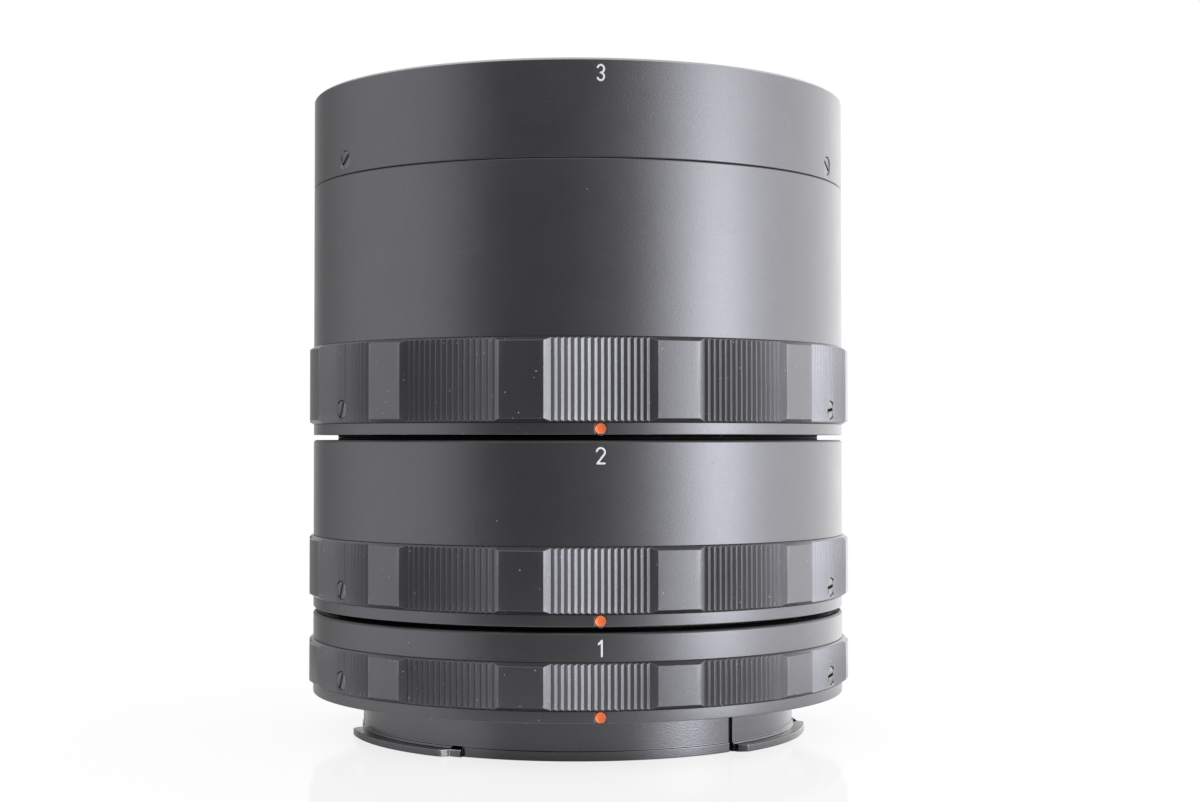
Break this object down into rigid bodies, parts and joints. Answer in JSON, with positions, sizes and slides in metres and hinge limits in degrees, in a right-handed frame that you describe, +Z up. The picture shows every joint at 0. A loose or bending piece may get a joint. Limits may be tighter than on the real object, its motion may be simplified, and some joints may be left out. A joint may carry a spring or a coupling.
{
  "type": "macro extension tube set",
  "caption": "Stacked automatic macro extension tubes with knurled grip rings and bayonet mounts, which twist apart and set a medium-format lens further from its camera.",
  "frame": {"origin": "on the optical axis, at the lowest face of the lowest tube's male bayonet", "axes": "+Z up the optical axis from the camera side to the lens side; the index marks face -Y"},
  "size_m": [0.0896, 0.0896, 0.1056],
  "materials": {
    "barrel_black": "satin black anodised aluminium, fine grain",
    "grip_black": "satin black anodised aluminium, knurled",
    "mount_black": "satin black anodised aluminium, edges worn to bare metal",
    "screw_black": "blackened steel",
    "index_orange": "glossy orange enamel",
    "button_black": "satin black anodised aluminium",
    "spring_steel": "bright spring steel",
    "pin_steel": "ground steel",
    "transfer_brass": "machined brass",
    "baffle_black": "matt black paint"
  },
  "bodies": {
    "release_1": {"tube_1_release_button": "button_black"},
    "transfer_1": {"tube_1_transfer_ring": "transfer_brass"},
    "tube_1": {"tube_1_barrel": "barrel_black", "tube_1_grip_ring": "grip_black", "tube_1_grip_screws": "screw_black", "tube_1_rear_mount": "mount_black", "tube_1_rear_mount_screws": "screw_black", "tube_1_index_dot": "index_orange", "tube_1_front_mount": "mount_black", "tube_1_front_mount_screws": "screw_black", "tube_1_lug_springs": "spring_steel", "tube_1_stop_pin": "pin_steel", "tube_1_latch_spring": "spring_steel", "tube_1_transfer_cover": "baffle_black", "tube_1_cover_screws": "screw_black", "tube_1_return_spring": "spring_steel", "tube_1_light_baffle": "baffle_black"},
    "release_2": {"tube_2_release_button": "button_black"},
    "transfer_2": {"tube_2_transfer_ring": "transfer_brass"},
    "tube_2": {"tube_2_barrel": "barrel_black", "tube_2_grip_ring": "grip_black", "tube_2_grip_screws": "screw_black", "tube_2_rear_mount": "mount_black", "tube_2_rear_mount_screws": "screw_black", "tube_2_index_dot": "index_orange", "tube_2_front_mount": "mount_black", "tube_2_front_mount_screws": "screw_black", "tube_2_lug_springs": "spring_steel", "tube_2_stop_pin": "pin_steel", "tube_2_latch_spring": "spring_steel", "tube_2_transfer_cover": "baffle_black", "tube_2_cover_screws": "screw_black", "tube_2_return_spring": "spring_steel", "tube_2_light_baffle": "baffle_black"},
    "release_3": {"tube_3_release_button": "button_black"},
    "transfer_3": {"tube_3_transfer_ring": "transfer_brass"},
    "tube_3": {"tube_3_barrel": "barrel_black", "tube_3_grip_ring": "grip_black", "tube_3_grip_screws": "screw_black", "tube_3_rear_mount": "mount_black", "tube_3_rear_mount_screws": "screw_black", "tube_3_index_dot": "index_orange", "tube_3_front_mount": "mount_black", "tube_3_front_mount_screws": "screw_black", "tube_3_lug_springs": "spring_steel", "tube_3_stop_pin": "pin_steel", "tube_3_latch_spring": "spring_steel", "tube_3_transfer_cover": "baffle_black", "tube_3_cover_screws": "screw_black", "tube_3_return_spring": "spring_steel", "tube_3_light_baffle": "baffle_black", "tube_3_collar": "barrel_black", "tube_3_collar_screws": "screw_black"}
  },
  "joints": [
    {"name": "tube_2_twist", "type": "hinge", "parent": "tube_1", "child": "tube_2", "pos_m": [0, 0, 0.0204], "axis": [0, 0, 1], "range_deg": [0, 60], "deforming": ["tube_1_latch_spring"]},
    {"name": "tube_3_twist", "type": "hinge", "parent": "tube_2", "child": "tube_3", "pos_m": [0, 0, 0.0484], "axis": [0, 0, 1], "range_deg": [0, 60], "deforming": ["tube_2_latch_spring"]},
    {"name": "release_1_press", "type": "slide", "parent": "tube_1", "child": "release_1", "axis": [0.829, -0.5592, 0], "range_m": [0, 0.001], "stiffness_N_per_m": 400, "springref_m": -0.0005, "deforming": ["tube_1_latch_spring"]},
    {"name": "release_2_press", "type": "slide", "parent": "tube_2", "child": "release_2", "axis": [0.829, -0.5592, 0], "range_m": [0, 0.001], "stiffness_N_per_m": 400, "springref_m": -0.0005, "deforming": ["tube_2_latch_spring"]},
    {"name": "release_3_press", "type": "slide", "parent": "tube_3", "child": "release_3", "axis": [0.829, -0.5592, 0], "range_m": [0, 0.001], "stiffness_N_per_m": 400, "springref_m": -0.0005, "deforming": ["tube_3_latch_spring"]},
    {"name": "transfer_1_turn", "type": "hinge", "parent": "tube_1", "child": "transfer_1", "pos_m": [0, 0, 0.0079], "axis": [0, 0, 1], "range_deg": [0, 18], "stiffness_Nm_per_rad": 0.02, "springref_deg": -11.46, "deforming": ["tube_1_return_spring"]},
    {"name": "transfer_2_turn", "type": "hinge", "parent": "tube_2", "child": "transfer_2", "pos_m": [0, 0, 0.0219], "axis": [0, 0, 1], "range_deg": [0, 18], "stiffness_Nm_per_rad": 0.02, "springref_deg": -11.46, "deforming": ["tube_2_return_spring"]},
    {"name": "transfer_3_turn", "type": "hinge", "parent": "tube_3", "child": "transfer_3", "pos_m": [0, 0, 0.0499], "axis": [0, 0, 1], "range_deg": [0, 18], "stiffness_Nm_per_rad": 0.02, "springref_deg": -11.46, "deforming": ["tube_3_return_spring"]}
  ],
  "couplings": [
    {"joint": "transfer_2_turn", "follows": "transfer_1_turn", "ratio": 1},
    {"joint": "transfer_3_turn", "follows": "transfer_1_turn", "ratio": 1}
  ]
}
